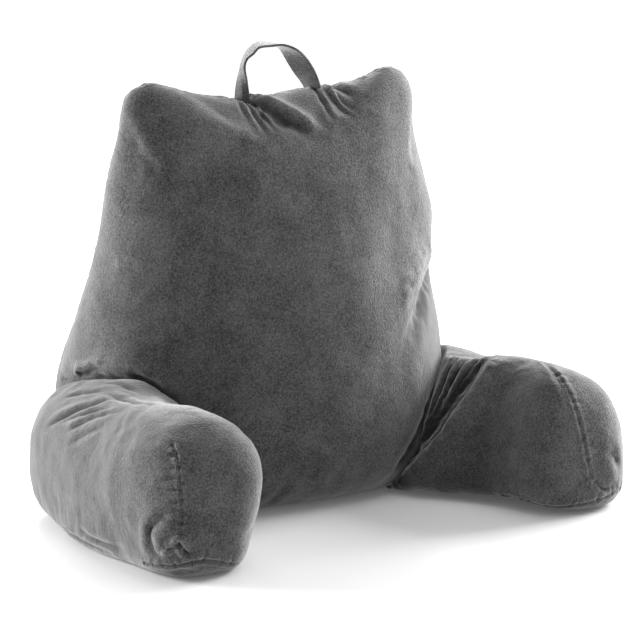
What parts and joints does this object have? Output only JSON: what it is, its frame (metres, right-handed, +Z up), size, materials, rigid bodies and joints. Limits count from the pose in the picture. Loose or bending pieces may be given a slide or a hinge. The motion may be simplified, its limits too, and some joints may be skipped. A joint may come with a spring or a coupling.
{
  "type": "reading pillow with arms",
  "caption": "Stuffed backrest pillow with a stuffed arm sewn to each side and a strap loop in its top seam, standing on its flat base to lean against.",
  "frame": {"origin": "middle of the floor area that the pillow covers, on the floor", "axes": "+X to the right as seen from the front, +Y towards the back, +Z up; the pillow faces -Y"},
  "size_m": [0.5969, 0.4272, 0.4925],
  "materials": {
    "plush": "short brushed pile, matt, with a pale sheen at grazing angles",
    "strap_cloth": "the same brushed cloth, folded and stitched along both edges"
  },
  "bodies": {
    "root": {"backrest": "plush", "arm_left": "plush", "arm_right": "plush", "handle": "strap_cloth"}
  },
  "joints": []
}
